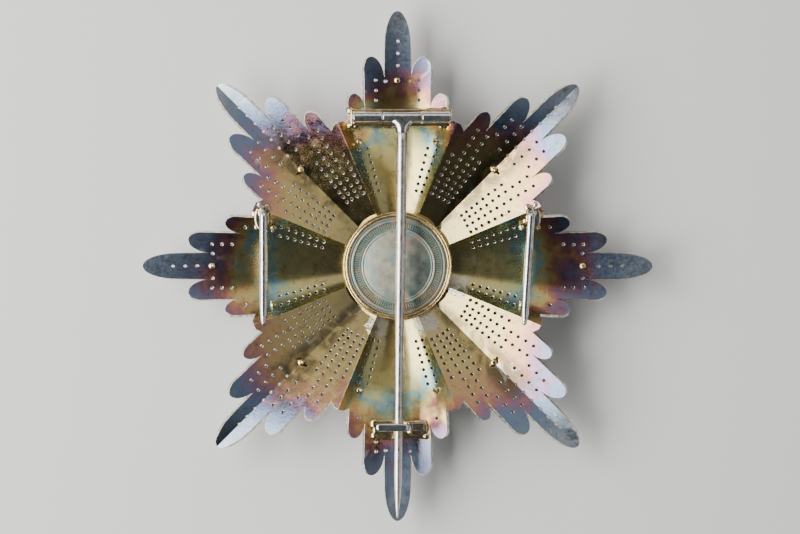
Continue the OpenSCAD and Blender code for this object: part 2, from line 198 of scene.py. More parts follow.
# the notch beside the last ray, then the short stub where two arms meet
notch_reach, notch_turn = 0.589, math.radians(19.2)
stub_reach, stub_turn = 0.606, math.radians(21)
half_outline.append(turned(notch_reach * star_radius, 0, notch_turn))
half_outline.append(turned(stub_reach * star_radius, 0, stub_turn))
arm_outline = [(u, -v) for u, v in reversed(half_outline[1:])] + half_outline

outline = [turned(u, v, arm_turn * k) for k in range(8) for u, v in arm_outline]
pick_nothing()
bpy.ops.mesh.primitive_circle_add(
    vertices=len(outline), radius=star_radius, fill_type="NGON", location=(0, 0, -sheet_t / 2)
)
sheet = finished("struck_star_sheet")
for point, (x, y) in zip(sheet.data.vertices, outline):
    point.co.x, point.co.y = x, y
bpy.ops.object.mode_set(mode="EDIT")
bpy.ops.mesh.select_mode(type="EDGE")
bpy.ops.mesh.select_all(action="SELECT")
bpy.ops.mesh.normals_make_consistent(inside=False)
bpy.ops.mesh.extrude_region_move(TRANSFORM_OT_translate={"value": (0, 0, sheet_t)})
bpy.ops.mesh.select_all(action="SELECT")
bpy.ops.mesh.normals_make_consistent(inside=False)
bpy.ops.mesh.select_all(action="DESELECT")
bpy.ops.object.mode_set(mode="OBJECT")
for edge in sheet.data.edges:
    first, second = (sheet.data.vertices[i].co for i in edge.vertices)
    edge.select = abs(first.z - second.z) < edge_break
bpy.ops.object.mode_set(mode="EDIT")
bpy.ops.mesh.bevel(offset=edge_break, segments=3, affect="EDGES", clamp_overlap=True)
bpy.ops.object.mode_set(mode="OBJECT")


class Recipe:
    """A metal finish, built up node by node on one principled shader."""

    def __init__(self, name):
        self.material = bpy.data.materials.new(name)
        self.material.use_nodes = True
        self.tree = self.material.node_tree
        self.shader = self.tree.nodes["Principled BSDF"]
        self.shader.inputs["Metallic"].default_value = 1
        self.place = self.add("ShaderNodeTexCoord").outputs["Object"]

    def add(self, kind, **settings):
        node = self.tree.nodes.new(kind)
        for key, value in settings.items():
            setattr(node, key, value)
        return node

    def feed(self, socket, value):
        if isinstance(value, bpy.types.NodeSocket):
            self.tree.links.new(value, socket)
        else:
            socket.default_value = value

    def sum(self, operation, *values):
        """One step of arithmetic."""
        node = self.add("ShaderNodeMath", operation=operation)
        for socket, value in zip(node.inputs, values):
            self.feed(socket, value)
        return node.outputs[0]

    def grain(self, scale, detail=4, rough=0.55, distortion=0.0, place=None):
        """Soft noise; scale is in features per metre."""
        node = self.add("ShaderNodeTexNoise")
        self.feed(node.inputs["Vector"], place or self.place)
        node.inputs["Scale"].default_value = scale
        node.inputs["Detail"].default_value = detail
        node.inputs["Roughness"].default_value = rough
        node.inputs["Distortion"].default_value = distortion
        return node.outputs["Fac"]

    def stretched(self, size):
        """The place with each axis scaled, for grain that is drawn out."""
        node = self.add("ShaderNodeMapping")
        self.feed(node.inputs["Vector"], self.place)
        node.inputs["Scale"].default_value = size
        return node.outputs[0]

    def axes(self):
        """X, Y and Z of the place."""
        split = self.add("ShaderNodeSeparateXYZ")
        self.feed(split.inputs[0], self.place)
        return tuple(split.outputs)

    def from_axis(self):
        """Distance from the star's upright axis."""
        x, y, z = self.axes()
        return self.sum("SQRT", self.sum("MULTIPLY_ADD", y, y, self.sum("MULTIPLY", x, x)))

    def steps(self, value, low, high, to_low=0.0, to_high=1.0):
        """An eased step from to_low to to_high, between the values low and high."""
        node = self.add("ShaderNodeMapRange", interpolation_type="SMOOTHSTEP")
        for socket, number in zip(node.inputs, (value, low, high, to_low, to_high)):
            self.feed(socket, number)
        return node.outputs[0]

    def ramp(self, value, stops):
        """Colours in turn along a value, each from its own position."""
        node = self.add("ShaderNodeValToRGB")
        self.feed(node.inputs[0], value)
        band = node.color_ramp.elements
        while len(band) < len(stops):
            band.new(0.5)
        for element, (at, colour) in zip(band, stops):
            element.position = at
            element.color = (*colour, 1)
        return node.outputs[0]

    def mix(self, share, first, second):
        """The first colour where the share is 0, the second where it is 1."""
        node = self.add("ShaderNodeMix", data_type="RGBA")
        self.feed(node.inputs[0], share)
        colour_a, colour_b, mixed = node.inputs[6], node.inputs[7], node.outputs[2]
        for socket, value in ((colour_a, first), (colour_b, second)):
            self.feed(socket, value if isinstance(value, bpy.types.NodeSocket) else (*value, 1))
        return mixed

    def relief(self, height, depth):
        """Fine unevenness that catches the light."""
        node = self.add("ShaderNodeBump")
        node.inputs["Strength"].default_value = 1
        node.inputs["Distance"].default_value = depth
        self.feed(node.inputs["Height"], height)
        self.feed(self.shader.inputs["Normal"], node.outputs[0])

    def finish(self, colour, roughness):
        self.feed(self.shader.inputs["Base Color"], colour)
        self.feed(self.shader.inputs["Roughness"], roughness)
        return self.material


def tarnished_back():
    work = Recipe("tarnished_silver_back")
    x, y, z = work.axes()
    share = work.sum("DIVIDE", work.from_axis(), star_radius)
    bearing = work.sum("ARCTAN2", y, x)

    # 1 along the middle of each upright or level arm, -1 along each diagonal crease
    petals = work.sum("COSINE", work.sum("MULTIPLY", bearing, 4.0))
    cardinal = work.steps(petals, -0.05, 0.05)

    # The film of tarnish grows from the middle to the tips, and its colour with it
    cloud = work.sum("SUBTRACT", work.grain(120, 3, 0.5, 0.6), 0.5)
    patch = work.sum("SUBTRACT", work.grain(420, 5, 0.6, 0.4), 0.5)
    film = work.sum("MULTIPLY_ADD", cloud, 0.34, share)
    film = work.sum("MULTIPLY_ADD", patch, 0.20, film)
    off_ridge = work.sum("ABSOLUTE", petals)
    near_ridge = work.sum("MULTIPLY", work.sum("SUBTRACT", 1.0, off_ridge), 0.10)
    film = work.sum("ADD", film, near_ridge)
    on_cardinal = work.ramp(film, (
        (0.18, (0.34, 0.29, 0.14)), (0.32, (0.42, 0.36, 0.16)), (0.44, (0.52, 0.45, 0.19)),
        (0.51, (0.42, 0.45, 0.22)), (0.56, (0.19, 0.37, 0.42)), (0.60, (0.40, 0.41, 0.22)),
        (0.64, (0.52, 0.38, 0.14)), (0.68, (0.40, 0.18, 0.12)), (0.72, (0.24, 0.12, 0.18)),
        (0.78, (0.14, 0.17, 0.25)), (0.90, (0.21, 0.26, 0.34)), (1.0, (0.31, 0.35, 0.40)),
    ))
    on_diagonal = work.ramp(film, (
        (0.18, (0.26, 0.22, 0.11)), (0.34, (0.38, 0.30, 0.13)), (0.50, (0.42, 0.32, 0.13)),
        (0.60, (0.42, 0.26, 0.13)), (0.66, (0.36, 0.17, 0.14)), (0.71, (0.23, 0.14, 0.21)),
        (0.77, (0.13, 0.17, 0.26)), (0.84, (0.14, 0.19, 0.25)), (0.92, (0.19, 0.22, 0.26)),
        (1.0, (0.25, 0.28, 0.32)),
    ))
    colour = work.mix(cardinal, on_diagonal, on_cardinal)

    # Soot in specks, brown stains along the creases, and spots rubbed bright
    soot = work.steps(work.grain(900, 8, 0.65, 0.3), 0.52, 0.72)
    colour = work.mix(work.sum("MULTIPLY", soot, 0.55), colour, (0.07, 0.06, 0.045))
    inside = work.steps(share, 0.78, 0.62)
    by_crease = work.sum("MULTIPLY", work.steps(petals, -0.84, -1.0), inside)
    blotches = work.steps(work.grain(240, 7, 0.65, 0.9), 0.38, 0.58)
    stain = work.sum("MULTIPLY", by_crease, blotches)
    colour = work.mix(work.sum("MULTIPLY", stain, 0.92), colour, (0.10, 0.08, 0.045))
    polish = work.steps(work.grain(260, 6, 0.6, 1.0), 0.62, 0.76)
    colour = work.mix(work.sum("MULTIPLY", polish, 0.5), colour, (0.70, 0.68, 0.62))

    # Grey crusts of flux at three places round the bezel, given by their bearing
    crust_bearings = (-109, -63, -18)
    ragged = work.grain(520, 4, 0.6)
    by_disc = work.steps(work.sum("MULTIPLY_ADD", ragged, 0.16, share), 0.375, 0.345)
    flux = 0.0
    for at in crust_bearings:
        toward = work.sum("COSINE", work.sum("SUBTRACT", bearing, math.radians(at)))
        toward = work.sum("MULTIPLY_ADD", ragged, 0.03, toward)
        flux = work.sum("ADD", flux, work.steps(toward, 0.999, 1.006))
    crust = work.steps(work.grain(1100, 4, 0.6, 0.4), 0.40, 0.60, 0.25, 0.9)
    flux = work.sum("MULTIPLY", work.sum("MULTIPLY", flux, by_disc), crust)
    colour = work.mix(flux, colour, (0.52, 0.51, 0.52))

    # Smooth flanks, duller upright and level arms, and frosted tips
    fine = work.grain(2600, 3, 0.7)
    rough = work.steps(work.grain(700, 5, 0.6), 0.3, 0.75, 0.05, 0.10)
    rough = work.sum("MULTIPLY_ADD", flux, 0.35, rough)
    rough = work.sum("MULTIPLY_ADD", cardinal, 0.17, rough)
    tip = work.sum("MULTIPLY", cardinal, work.steps(share, 0.66, 0.80))
    frost = work.sum("MULTIPLY", tip, work.steps(fine, 0.3, 0.7, 0.07, 0.19))
    rough = work.sum("ADD", rough, frost)
    work.relief(work.sum("MULTIPLY_ADD", flux, 16.0, fine), 0.002 * mm)
    return work.finish(colour, rough)


def bright_edge():
    work = Recipe("sawn_silver_edge")
    worn = work.steps(work.grain(1300, 5, 0.6), 0.38, 0.62)
    colour = work.mix(worn, (0.86, 0.83, 0.76), (0.46, 0.42, 0.34))
    work.relief(work.grain(3200, 3, 0.6), 0.02 * mm)
    return work.finish(colour, work.steps(work.grain(1800, 3), 0.3, 0.7, 0.18, 0.34))


def struck_front():
    work = Recipe("polished_silver_front")
    haze = work.steps(work.grain(240, 6, 0.6, 0.5), 0.35, 0.75)
    colour = work.mix(haze, (0.80, 0.79, 0.76), (0.62, 0.59, 0.52))
    work.relief(work.grain(2600, 3, 0.6), 0.01 * mm)
    return work.finish(colour, work.steps(work.grain(900, 4), 0.3, 0.7, 0.16, 0.28))


def drilled_wall():
    work = Recipe("drilled_hole_wall")
    # The hole walls are painted almost black: painted shade inside the holes, mottled with grime.
    grime_and_painted_shade = work.steps(work.grain(1500, 5, 0.6), 0.35, 0.65)
    colour = work.mix(grime_and_painted_shade, (0.20, 0.16, 0.10), (0.05, 0.045, 0.04))
    work.relief(work.grain(3000, 3, 0.6), 0.02 * mm)
    return work.finish(colour, work.steps(work.grain(1200, 3), 0.3, 0.7, 0.4, 0.6))


finishes = (tarnished_back(), bright_edge(), struck_front(), drilled_wall())
BACK, RIM, FRONT, HOLE = 0, 1, 2, 3
for finish in finishes:
    sheet.data.materials.append(finish)

# Each hole is cut by a drill that also takes the edge off both of its rims. The drill
# widens in three steps at each end: how far each step rises and how much it grows.
burr = 0.08 * mm
burr_steps = ((0.05 * mm, 1.12), (0.03 * mm, 1.16), (0.04 * mm, 1.2))
same_height = 1e-7
flared = 0.3
pick_nothing()
bpy.ops.mesh.primitive_cylinder_add(vertices=12, radius=drill_r, depth=sheet_t - 2 * burr)
drill = finished("drill")
bpy.ops.object.mode_set(mode="EDIT")
bpy.ops.mesh.select_mode(type="FACE")
for side in (-1, 1):
    for rise, grow in burr_steps:
        bpy.ops.mesh.select_all(action="DESELECT")
        bpy.ops.object.mode_set(mode="OBJECT")
        far = max(side * face.center.z for face in drill.data.polygons)
        for face in drill.data.polygons:
            face.select = side * face.center.z > far - same_height
        bpy.ops.object.mode_set(mode="EDIT")
        bpy.ops.mesh.extrude_region_move(TRANSFORM_OT_translate={"value": (0, 0, side * rise)})
        bpy.ops.transform.resize(value=(grow, grow, 1))
bpy.ops.object.mode_set(mode="OBJECT")
for finish in finishes:
    drill.data.materials.append(finish)
for face in drill.data.polygons:
    face.material_index = RIM if abs(face.normal.z) > flared else HOLE
holes = []

# first hole along and across, sideways drift, number, first step and its growth,
# in shares of the star's radius
cardinal_rows = (
    (0.296, 0.078, 0.27, 7, 0.0275, 1.0),
    (0.290, 0.100, 0.35, 7, 0.0275, 1.0),
    (0.651, 0.088, 0, 3, 0.0392, 1.0),
    (0.596, 0.157, 0, 1, 0, 1.0),
    (0.726, 0.050, 0, 1, 0, 1.0),
)
diagonal_rows = (
    (0.318, 0.041, 0.13, 8, 0.0247, 1.04),
    (0.314, 0.063, 0.18, 11, 0.0243, 1.04),
    (0.306, 0.086, 0.25, 11, 0.0243, 1.04),
    (0.298, 0.110, 0.32, 7, 0.0243, 1.04),
    (0.608, 0.046, 0, 4, 0.0408, 1.0),
    (0.640, 0.092, 0, 3, 0.0408, 1.0),
)
cardinal_middle = (0.788, 0, 0, 3, 0.047, 1.0)
diagonal_middle = (0.613, 0, 0, 7, 0.0443, 1.0)

# The holes were drilled by eye, so each is a little off its place along and across
hand = random.Random(17)
wander = 0.045 * mm


def drill_row(row, side, turn):
    along, across, drift, count, step, growth = row
    ahead = 0
    for i in range(count):
        u = (along + ahead) * star_radius + hand.uniform(-wander, wander)
        v = side * (across + drift * ahead) * star_radius + hand.uniform(-wander, wander)
        holes.append(turned(u, v, turn))
        ahead += step
        step *= growth


for k in range(4):
    for rows, middle, turn in (
        (cardinal_rows, cardinal_middle, 2 * k * arm_turn),
        (diagonal_rows, diagonal_middle, (2 * k + 1) * arm_turn),
    ):
        for row in rows:
            for side in (-1, 1):
                drill_row(row, side, turn)
        drill_row(middle, 1, turn)

bits = [drill]
for x, y in holes[1:]:
    bit = drill.copy()
    bit.data = drill.data.copy()
    bit.location = (x, y, 0)
    scene.collection.objects.link(bit)
    bits.append(bit)
drill.location = (*holes[0], 0)
pick_nothing()
bpy.ops.mesh.primitive_cylinder_add(vertices=96, radius=bore_r, depth=3 * sheet_t)
bits.append(bpy.context.object)
for bit in bits:
    bit.select_set(True)
bpy.ops.object.join()
drills = finished("drills")


def cut(piece, tool):
    """Cuts the tool's shape out of the piece and throws the tool away."""
    modifier = piece.modifiers.new("cut", "BOOLEAN")
    modifier.operation = "DIFFERENCE"
    modifier.solver = "MANIFOLD"
    modifier.object = tool
    pick(piece)
    bpy.ops.object.modifier_apply(modifier=modifier.name)
    bpy.data.objects.remove(tool)


cut(sheet, drills)

# The flat sheet is divided along the folds between the arms, along the diagonal creases,
# and finely across the upright and level arms, where it is to be rounded.
touching, on_fold = 1e-6, 1e-7
folds = [22.5, 67.5, 112.5, 157.5, 45, 135]
bend_step = 2.25
folds += [i * bend_step + quarter for quarter in (0, 90) for i in range(-9, 10)]
bpy.ops.object.mode_set(mode="EDIT")
bpy.ops.mesh.select_all(action="SELECT")
bpy.ops.mesh.remove_doubles(threshold=touching)
for fold in folds:
    bpy.ops.mesh.select_all(action="SELECT")
    turn = math.radians(fold)
    bpy.ops.mesh.bisect(
        plane_co=(0, 0, 0), plane_no=(-math.sin(turn), math.cos(turn), 0), threshold=on_fold
    )
bpy.ops.mesh.select_all(action="SELECT")
bpy.ops.mesh.quads_convert_to_tris()
bpy.ops.object.mode_set(mode="OBJECT")

level = 0.999
for face in sheet.data.polygons:
    if abs(face.normal.z) > level:
        face.material_index = BACK if face.normal.z > 0 else FRONT
    elif face.material_index != HOLE:
        face.material_index = RIM


def slope(x, y):
    """Steepness of the troughs along X and Y."""
    reach = 0.02 * mm
    along_x = trough(x + reach, y) - trough(x - reach, y)
    along_y = trough(x, y + reach) - trough(x, y - reach)
    return along_x / (2 * reach), along_y / (2 * reach)


def shade(piece, angle):
    """Shades the piece smooth, but for edges sharper than the angle in degrees."""
    pick(piece)
    bpy.ops.object.shade_smooth_by_angle(angle=math.radians(angle))


# Striking raises each point by the height of the troughs. It also turns the drilled
# holes square to the flanks, fully so this far from the folds and from the tips.
fold_ease, tip_ease = 1 * mm, 2 * mm
for point in sheet.data.vertices:
    x, y, z = point.co
    arm, u, v = along_arm(x, y)
    from_fold = u * math.sin(half_arm) - abs(v) * math.cos(half_arm)
    if arm % 2:
        from_fold = min(from_fold, abs(v))
    from_tip = star_radius - math.hypot(x, y)
    squared = max(0, min(1, from_fold / fold_ease, from_tip / tip_ease))
    steep_x, steep_y = slope(x, y)
    steep = steep_x ** 2 + steep_y ** 2
    point.co.x -= squared * z * steep_x / (1 + steep)
    point.co.y -= squared * z * steep_y / (1 + steep)
    point.co.z = apex_z + sheet_t / 2 + trough(x, y) + z * (1 - squared * steep / (1 + steep))
shade(sheet, 9)
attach(sheet, "star")
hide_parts("star_sheet")

# Sixteen gilt wires hold ornaments of the front. Each runs through the sheet, is held
# at the back by a small collar over which its end stands up, a little bent by hand,
# and ends at the front in a plain round head.


def lathe(name, profile, steps):
    """Spins a line of (radius, height) points, in millimetres, about an upright axis."""
    pick_nothing()
    bpy.ops.mesh.primitive_plane_add(size=mm, location=(0, 0, 0))
    piece = finished(name)
    bpy.ops.object.mode_set(mode="EDIT")
    bpy.ops.mesh.select_mode(type="VERT")
    bpy.ops.mesh.select_all(action="SELECT")
    bpy.ops.mesh.merge(type="CENTER")
    bpy.ops.transform.translate(value=(profile[0][0] * mm, 0, profile[0][1] * mm))
    for (radius, height), (next_radius, next_height) in zip(profile, profile[1:]):
        step = ((next_radius - radius) * mm, 0, (next_height - height) * mm)
        bpy.ops.mesh.extrude_region_move(TRANSFORM_OT_translate={"value": step})
    bpy.ops.mesh.select_all(action="SELECT")
    bpy.ops.mesh.spin(steps=steps, angle=2 * math.pi, center=(0, 0, 0), axis=(0, 0, 1))
    bpy.ops.mesh.select_all(action="SELECT")
    bpy.ops.mesh.remove_doubles(threshold=touching)
    bpy.ops.mesh.normals_make_consistent(inside=False)
    bpy.ops.mesh.select_all(action="DESELECT")
    bpy.ops.object.mode_set(mode="OBJECT")
    return piece


def placed(piece, place, turn=(0, 0, 0)):
    """Turns the piece and moves it to its place, inside its mesh."""
    pick(piece)
    piece.location = place
    piece.rotation_euler = turn
    return finished(piece.name)


def gilt(name, tint, worn_tint):
    """Gilding or brass, paler where it is rubbed, with dirt in the low places."""
    work = Recipe(name)
    worn = work.steps(work.grain(1500, 5, 0.6, 0.4), 0.45, 0.68)
    colour = work.mix(worn, tint, worn_tint)
    soot = work.steps(work.grain(2300, 4, 0.6), 0.58, 0.75)
    colour = work.mix(work.sum("MULTIPLY", soot, 0.4), colour, (0.14, 0.10, 0.06))
    work.relief(work.grain(2200, 4, 0.6), 0.008 * mm)
    return work.finish(colour, work.steps(work.grain(1100, 3), 0.3, 0.7, 0.16, 0.34))


stud_metal = gilt("worn_gilt_wire", (0.90, 0.70, 0.36), (0.72, 0.64, 0.48))

# The round head lies this far below the back of the sheet. Above the sheet come the
# collar and the end of the wire.
stud_front = -0.92
head_shape = (
    (0, -0.55), (0.42, -0.55), (0.66, -0.49), (0.80, -0.36), (0.85, -0.2), (0.83, -0.05),
    (0.78, 0), (0.4, 0),
)
stud_shape = [(r, stud_front + z) for r, z in head_shape]
stud_shape += [
    (0.4, 0.06), (0.5, 0.06), (0.56, 0.13), (0.56, 0.24), (0.48, 0.35), (0.34, 0.41), (0.26, 0.46),
    (0.25, 0.6), (0.25, 0.8), (0.25, 0.94), (0.22, 1.04), (0.14, 1.1), (0, 1.11),
]
stud = lathe("fixing_stud", stud_shape, 20)
stud.data.materials.append(stud_metal)

# The end of the wire is bent a little above each of three heights
wire_bend = math.radians(14)
bend_foot = (0, 0, 0.5 * mm)
bend_heights = (0.55, 0.7, 0.9)
bpy.ops.object.mode_set(mode="EDIT")
for bend_from in bend_heights:
    bpy.ops.mesh.select_all(action="DESELECT")
    bpy.ops.object.mode_set(mode="OBJECT")
    for point in stud.data.vertices:
        point.select = point.co.z > bend_from * mm
    bpy.ops.object.mode_set(mode="EDIT")
    bpy.ops.transform.rotate(
        value=wire_bend, orient_axis="X", orient_type="GLOBAL", center_override=bend_foot
    )
bpy.ops.object.mode_set(mode="OBJECT")
shade(stud, 40)

# Each place is the bearing of an arm, and millimetres along and across that arm. The
# collars in the diagonal creases sit higher, on the two flanks.
crease_studs = 4
crease_lift = 0.264 * mm
crease_u, tip_u, side_u, side_v = 23.068, 31.318, 20.918, 6.529
stud_places = [(45 + 90 * k, crease_u, 0) for k in range(crease_studs)]
stud_places += [(90 * k, tip_u, 0) for k in range(4)]
stud_places += [(90 * k, side_u, v) for k in range(4) for v in (-side_v, side_v)]
for number, (bearing, u, v) in enumerate(stud_places, 1):
    x, y = turned(u * mm, v * mm, math.radians(bearing))
    slope_x, slope_y = slope(x, y)
    copy = stud.copy()
    copy.data = stud.data.copy()
    copy.name = copy.data.name = f"fixing_stud_{number:02d}"
    scene.collection.objects.link(copy)
    if number <= crease_studs:
        for point in copy.data.vertices:
            if point.co.z > 0:
                point.co.z += crease_lift
    spin_turn = hand.uniform(0, 2 * math.pi)
    lean = Vector((-slope_x, -slope_y, 1)).to_track_quat("Z", "Y").to_matrix()
    own_turn = lean @ Matrix.Rotation(spin_turn, 3, "Z")
    placed(copy, (x, y, back_z(x, y)), own_turn.to_euler())
    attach(copy, "star")
    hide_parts(f"stud_{number:02d}")
bpy.data.objects.remove(stud)

# The medallion carries the front: a plain turned silver plate with a sunk field and
# two rounded steps, and a drum that comes through the middle of the star.
medallion_shape = (
    (0, 0.12), (4, 0.12), (7.5, 0.12), (7.9, 0.09), (8.1, 0.02), (8.3, 0), (8.7, 0), (8.85, 0.04),
    (9.2, 0.44), (9.3, 0.48), (9.85, 0.48), (9.95, 0.44), (10.2, 0.27), (10.34, 0.24), (10.5, 0.27),
    (10.7, 0.4), (10.88, 0.62), (10.97, 0.82), (11, 1), (11, 2.25), (10.95, 2.36), (10.85, 2.4),
    (8.6, 2.4), (8.57, 2.43), (8.57, 4.6), (8.5, 4.695), (0, 4.695),
)
medallion = lathe("front_medallion_plate", medallion_shape, 128)
shade(medallion, 40)
work = Recipe("satin_silver_front")
haze = work.steps(work.grain(260, 6, 0.6, 0.5), 0.38, 0.75)
tool_marks = 0.11 * mm
turning = work.sum("SINE", work.sum("MULTIPLY", work.from_axis(), 2 * math.pi / tool_marks))
soft_turning = work.sum("MULTIPLY_ADD", turning, 0.15, work.grain(1800, 4, 0.6))
work.relief(soft_turning, 0.008 * mm)
silver = work.mix(haze, (0.82, 0.81, 0.78), (0.63, 0.60, 0.53))
rough = work.steps(work.grain(800, 4), 0.3, 0.7, 0.18, 0.32)
medallion.data.materials.append(work.finish(silver, rough))
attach(medallion, "star")
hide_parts("front_medallion")

# The disc closes the middle of the back. It is thin sheet silver, turned with a groove
# on either side of a punched border, left bare, and tarnished grey and blue-green.
disc_shape = (
    (0, 4.725), (8.15, 4.725), (8.3, 4.78), (8.32, 4.85), (8.32, 5.42), (8.24, 5.5), (8.1, 5.525),
    (7.9, 5.525), (7.8, 5.48), (7.7, 5.525), (7.45, 5.525), (6.35, 5.525), (6.15, 5.525),
    (6.05, 5.48), (5.95, 5.525), (5.75, 5.525), (5.65, 5.49), (5.55, 5.525), (0, 5.525),
)
disc_steps = 112
disc = lathe("back_disc_plate", disc_shape, disc_steps)

# Every second face of the border is inset and pressed in
border_in, border_out = 6.35 * mm, 7.45 * mm
border_r = (border_in + border_out) / 2
near_border = 0.2 * mm
disc_top = 5.5 * mm
tick_margin, punch_depth = 0.06 * mm, 0.2 * mm
for face in disc.data.polygons:
    x, y, z = face.center
    step = round(math.atan2(y, x) / (2 * math.pi / disc_steps) - 0.5)
    on_border = abs(math.hypot(x, y) - border_r) < near_border and z > disc_top
    face.select = on_border and step % 2 == 0
bpy.ops.object.mode_set(mode="EDIT")
bpy.ops.mesh.select_mode(type="FACE")
bpy.ops.mesh.inset(thickness=tick_margin, use_individual=True)
bpy.ops.transform.translate(value=(0, 0, -punch_depth))
bpy.ops.object.mode_set(mode="OBJECT")
shade(disc, 30)
work = Recipe("tarnished_silver_disc")
out = work.from_axis()
tool_marks = 0.17 * mm
turning = work.sum("SINE", work.sum("MULTIPLY", out, 2 * math.pi / tool_marks))
cloud = work.steps(work.grain(330, 6, 0.6, 0.8), 0.36, 0.66)
colour = work.mix(cloud, (0.31, 0.39, 0.35), (0.52, 0.48, 0.35))
blue = work.steps(work.grain(230, 5, 0.55, 0.5), 0.52, 0.7)
colour = work.mix(work.sum("MULTIPLY", blue, 0.7), colour, (0.20, 0.33, 0.43))
warm = work.steps(work.grain(280, 4, 0.5, 0.3), 0.54, 0.72)
colour = work.mix(work.sum("MULTIPLY", warm, 0.7), colour, (0.56, 0.36, 0.25))
# The disc is painted darker towards its edge: painted shade under the bezel's rim, made ragged by
# the clouds.
to_edge = work.sum("MULTIPLY_ADD", cloud, 0.6 * mm, out)
painted_rim_shade = work.steps(to_edge, 7.2 * mm, 8.5 * mm)
colour = work.mix(work.sum("MULTIPLY", painted_rim_shade, 0.6), colour, (0.20, 0.17, 0.10))
soot = work.steps(work.grain(1300, 6, 0.65), 0.6, 0.72)
colour = work.mix(work.sum("MULTIPLY", soot, 0.6), colour, (0.08, 0.08, 0.07))
work.relief(work.sum("MULTIPLY_ADD", turning, 0.12, work.grain(1500, 5, 0.6)), 0.01 * mm)
rough = work.steps(work.grain(800, 5), 0.3, 0.7, 0.42, 0.56)
disc.data.materials.append(work.finish(colour, rough))
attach(disc, "star")
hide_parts("back_disc")

# A brass bezel holds the disc. It is a ring of wire soldered to the sheet, so that its
# wall follows the troughs, with a doubled rim rubbed over the disc by hand.
rest_on_sheet = 0.0
bezel_shape = (
    (8.62, rest_on_sheet), (9.25, rest_on_sheet), (9.25, 5.3), (9.235, 5.45), (9.18, 5.62),
    (9.1, 5.76), (9.0, 5.82), (8.91, 5.8), (8.84, 5.7), (8.78, 5.66), (8.72, 5.72), (8.62, 5.78),
    (8.5, 5.77), (8.4, 5.68), (8.355, 5.55), (8.35, 4.8), (8.5, 4.8), (8.5, 4.96), (8.62, 4.96),
    (8.62, rest_on_sheet),
)
bezel = lathe("brass_bezel", bezel_shape, 160)


def faces_outward():
    """Turns all faces of the piece in edit mode outwards, and leaves edit mode."""
    bpy.ops.mesh.select_all(action="SELECT")
    bpy.ops.mesh.normals_make_consistent(inside=False)
    bpy.ops.object.mode_set(mode="OBJECT")


# The foot of the wall is set on the troughs, and the rim gets its uneven rubbing
foot_below = 1 * mm
solder_gap = 0.02 * mm
rim_from, inner_rim_r = 5.25 * mm, 8.8 * mm
rub_share, rub_depth = 0.0016, 0.012 * mm
for point in bezel.data.vertices:
    x, y, z = point.co
    bearing = math.atan2(y, x)
    if z < foot_below:
        point.co.z = back_z(x, y) + solder_gap
    elif z > rim_from:
        rub = math.sin(5 * bearing) + math.sin(9 * bearing + 1) + 0.6 * math.sin(16 * bearing + 2)
        share = 1 + rub_share * rub
        if math.hypot(x, y) < inner_rim_r:
            point.co.x, point.co.y = x * share, y * share
        point.co.z -= rub_depth * (2 + math.sin(7 * bearing + 1) + math.sin(12 * bearing))
pick(bezel)
bpy.ops.object.mode_set(mode="EDIT")
faces_outward()
shade(bezel, 50)
bezel.data.materials.append(gilt("rubbed_brass", (0.88, 0.66, 0.32), (0.66, 0.54, 0.34)))
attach(bezel, "star")
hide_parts("disc_bezel")

# The hinge mount bridges the upper trough: a flat silver strip on two feet carries the
# two outer knuckles of the hinge, and all joints are filled with brassy solder.
hinge_y = 24.918
hinge_z = 9.354
tube_r = 0.95
bore_half = 0.47


def block(x_from, x_to, y, half_y, z_from, z_to, edge):
    """A bar with its edges taken off; sizes in millimetres."""
    pick_nothing()
    spans = ((x_from, x_to), (y - half_y, y + half_y), (z_from, z_to))
    middle = [(a + b) / 2 * mm for a, b in spans]
    size = [(b - a) * mm for a, b in spans]
    bpy.ops.mesh.primitive_cube_add(size=1, location=middle, scale=size)
    piece = finished("bar")
    bpy.ops.object.mode_set(mode="EDIT")
    bpy.ops.mesh.select_all(action="SELECT")
    bpy.ops.mesh.bevel(offset=edge * mm, segments=2, affect="EDGES")
    bpy.ops.object.mode_set(mode="OBJECT")
    return piece


def drop(x, y, z, long_x, long_y, high):
    """A drop of solder; sizes in millimetres."""
    pick_nothing()
    bpy.ops.mesh.primitive_uv_sphere_add(
        segments=24, ring_count=12, radius=mm, location=(x * mm, y * mm, z * mm)
    )
    bpy.context.object.scale = (long_x, long_y, high)
    return finished("drop")


def soldered(name, parts, fineness, rounds=3):
    """Melts shapes that overlap into one, with softened joints, resting on the sheet."""
    pick_nothing()
    for part in parts:
        part.select_set(True)
    bpy.context.view_layer.objects.active = parts[0]
    bpy.ops.object.join()
    parts[0].name = name
    piece = finished(name)
    melt = piece.modifiers.new("melt", "REMESH")
    melt.mode = "VOXEL"
    melt.voxel_size = fineness * mm
    soften = piece.modifiers.new("soften", "SMOOTH")
    soften.factor = 0.5
    soften.iterations = rounds
    for modifier in ("melt", "soften"):
        bpy.ops.object.modifier_apply(modifier=modifier)
    for point in piece.data.vertices:
        point.co.z = max(point.co.z, back_z(point.co.x, point.co.y) + solder_gap)
    bpy.ops.object.shade_smooth()
    return piece


def tube(name, length, x_from):
    """A length of hinge tube along X, bored for the rod."""
    mouth, edge, corner = 0.06, 0.1, 0.03
    ring = (
        (bore_half + mouth, 0), (tube_r - edge, 0), (tube_r - corner, corner), (tube_r, edge),
        (tube_r, length - edge), (tube_r - corner, length - corner), (tube_r - edge, length),
        (bore_half + mouth, length), (bore_half, length - mouth), (bore_half, mouth),
        (bore_half + mouth, 0),
    )
    piece = lathe(name, ring, 48)
    return placed(piece, (x_from * mm, hinge_y * mm, hinge_z * mm), (0, math.pi / 2, 0))


